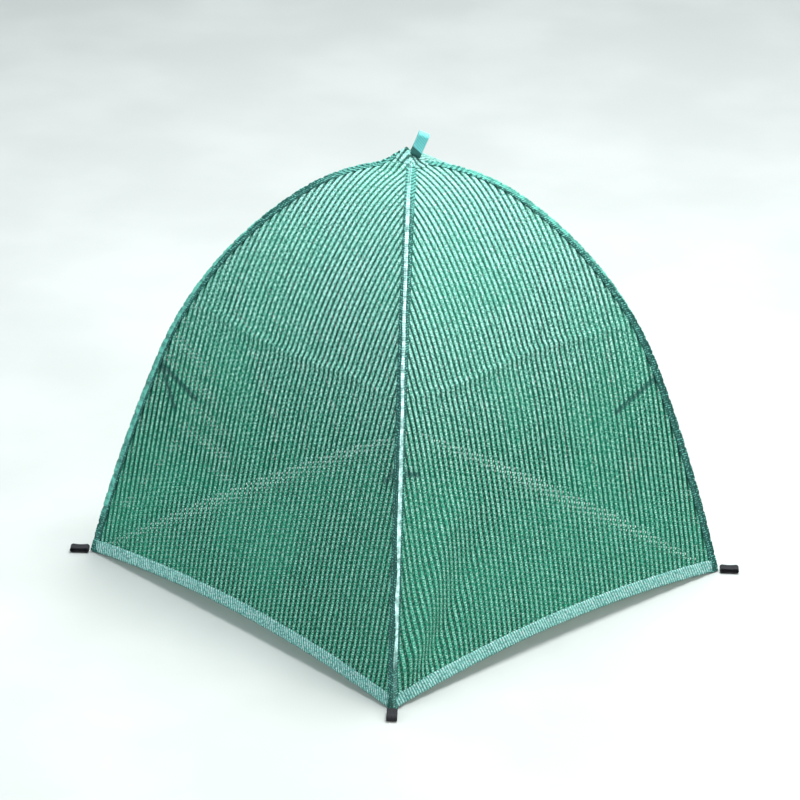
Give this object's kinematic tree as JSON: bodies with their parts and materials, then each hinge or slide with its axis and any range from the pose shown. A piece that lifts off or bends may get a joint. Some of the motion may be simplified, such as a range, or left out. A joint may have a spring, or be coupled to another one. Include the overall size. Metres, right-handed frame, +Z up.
{
  "type": "shade dome",
  "caption": "Small square shade dome: a knitted cloth cover on two crossing flexible poles, open underneath, with a carrying loop and corner peg loops.",
  "frame": {"origin": "centre of the square foot, on the floor", "axes": "+Z up through the crossing of the poles; the four corners lie on the X and Y axes, with the front corner at -Y"},
  "size_m": [1.0582, 1.0582, 0.7303],
  "materials": {
    "shade_cloth": "knitted polyethylene shade cloth, soft sheen",
    "sewn_cloth": "folded and stitched knitted shade cloth",
    "green_webbing": "ribbed woven webbing, satin",
    "black_webbing": "ribbed woven webbing, matte",
    "tie_ribbon": "woven ribbon, matte",
    "glass_fibre": "dark pultruded glass fibre, satin",
    "ferrule_metal": "drawn tube, brushed",
    "tip_plastic": "moulded, fine grain",
    "elastic": "braided cover over rubber"
  },
  "bodies": {
    "frame_and_cover": {"panel_front_left": "shade_cloth", "panel_front_right": "shade_cloth", "panel_back_left": "shade_cloth", "panel_back_right": "shade_cloth", "hem_front_left": "sewn_cloth", "hem_front_right": "sewn_cloth", "hem_back_left": "sewn_cloth", "hem_back_right": "sewn_cloth", "seam_front": "sewn_cloth", "seam_right": "sewn_cloth", "seam_back": "sewn_cloth", "seam_left": "sewn_cloth", "crown_patch": "sewn_cloth", "corner_pocket_front": "black_webbing", "corner_pocket_right": "black_webbing", "corner_pocket_back": "black_webbing", "corner_pocket_left": "black_webbing", "tie_front": "tie_ribbon", "tie_right": "tie_ribbon", "tie_back": "tie_ribbon", "tie_left": "tie_ribbon", "crossing_tie": "tie_ribbon", "side_pole_crown": "glass_fibre", "side_pole_right_shoulder": "glass_fibre", "side_pole_left_shoulder": "glass_fibre", "side_pole_right_leg": "glass_fibre", "side_pole_left_leg": "glass_fibre", "front_pole_crown": "glass_fibre", "front_pole_front_shoulder": "glass_fibre", "front_pole_back_shoulder": "glass_fibre", "front_pole_front_leg": "glass_fibre", "front_pole_back_leg": "glass_fibre", "ferrule_front_upper": "ferrule_metal", "ferrule_front_lower": "ferrule_metal", "ferrule_right_upper": "ferrule_metal", "ferrule_right_lower": "ferrule_metal", "ferrule_back_upper": "ferrule_metal", "ferrule_back_lower": "ferrule_metal", "ferrule_left_upper": "ferrule_metal", "ferrule_left_lower": "ferrule_metal", "pole_tip_front": "tip_plastic", "pole_tip_right": "tip_plastic", "pole_tip_back": "tip_plastic", "pole_tip_left": "tip_plastic", "elastic_cord_side": "elastic", "elastic_cord_front": "elastic"},
    "carrying_loop": {"carrying_loop": "green_webbing"},
    "corner_loop_front": {"corner_loop_front": "black_webbing"},
    "corner_loop_right": {"corner_loop_right": "black_webbing"},
    "corner_loop_back": {"corner_loop_back": "black_webbing"},
    "corner_loop_left": {"corner_loop_left": "black_webbing"}
  },
  "joints": [
    {"name": "carrying_loop_flop", "type": "hinge", "parent": "frame_and_cover", "child": "carrying_loop", "pos_m": [0.005, 0, 0.68887], "axis": [0.9272, 0, -0.3746], "range_deg": [-70, 70]},
    {"name": "corner_loop_right_lift", "type": "hinge", "parent": "frame_and_cover", "child": "corner_loop_right", "pos_m": [0.50332, 0, 0.0046], "axis": [0, -1, 0], "range_deg": [0, 85]},
    {"name": "corner_loop_back_lift", "type": "hinge", "parent": "frame_and_cover", "child": "corner_loop_back", "pos_m": [0, 0.50332, 0.0046], "axis": [1, 0, 0], "range_deg": [0, 85]},
    {"name": "corner_loop_left_lift", "type": "hinge", "parent": "frame_and_cover", "child": "corner_loop_left", "pos_m": [-0.50332, 0, 0.0046], "axis": [0, 1, 0], "range_deg": [0, 85]},
    {"name": "corner_loop_front_lift", "type": "hinge", "parent": "frame_and_cover", "child": "corner_loop_front", "pos_m": [0, -0.50332, 0.0046], "axis": [-1, 0, 0], "range_deg": [0, 85]}
  ]
}
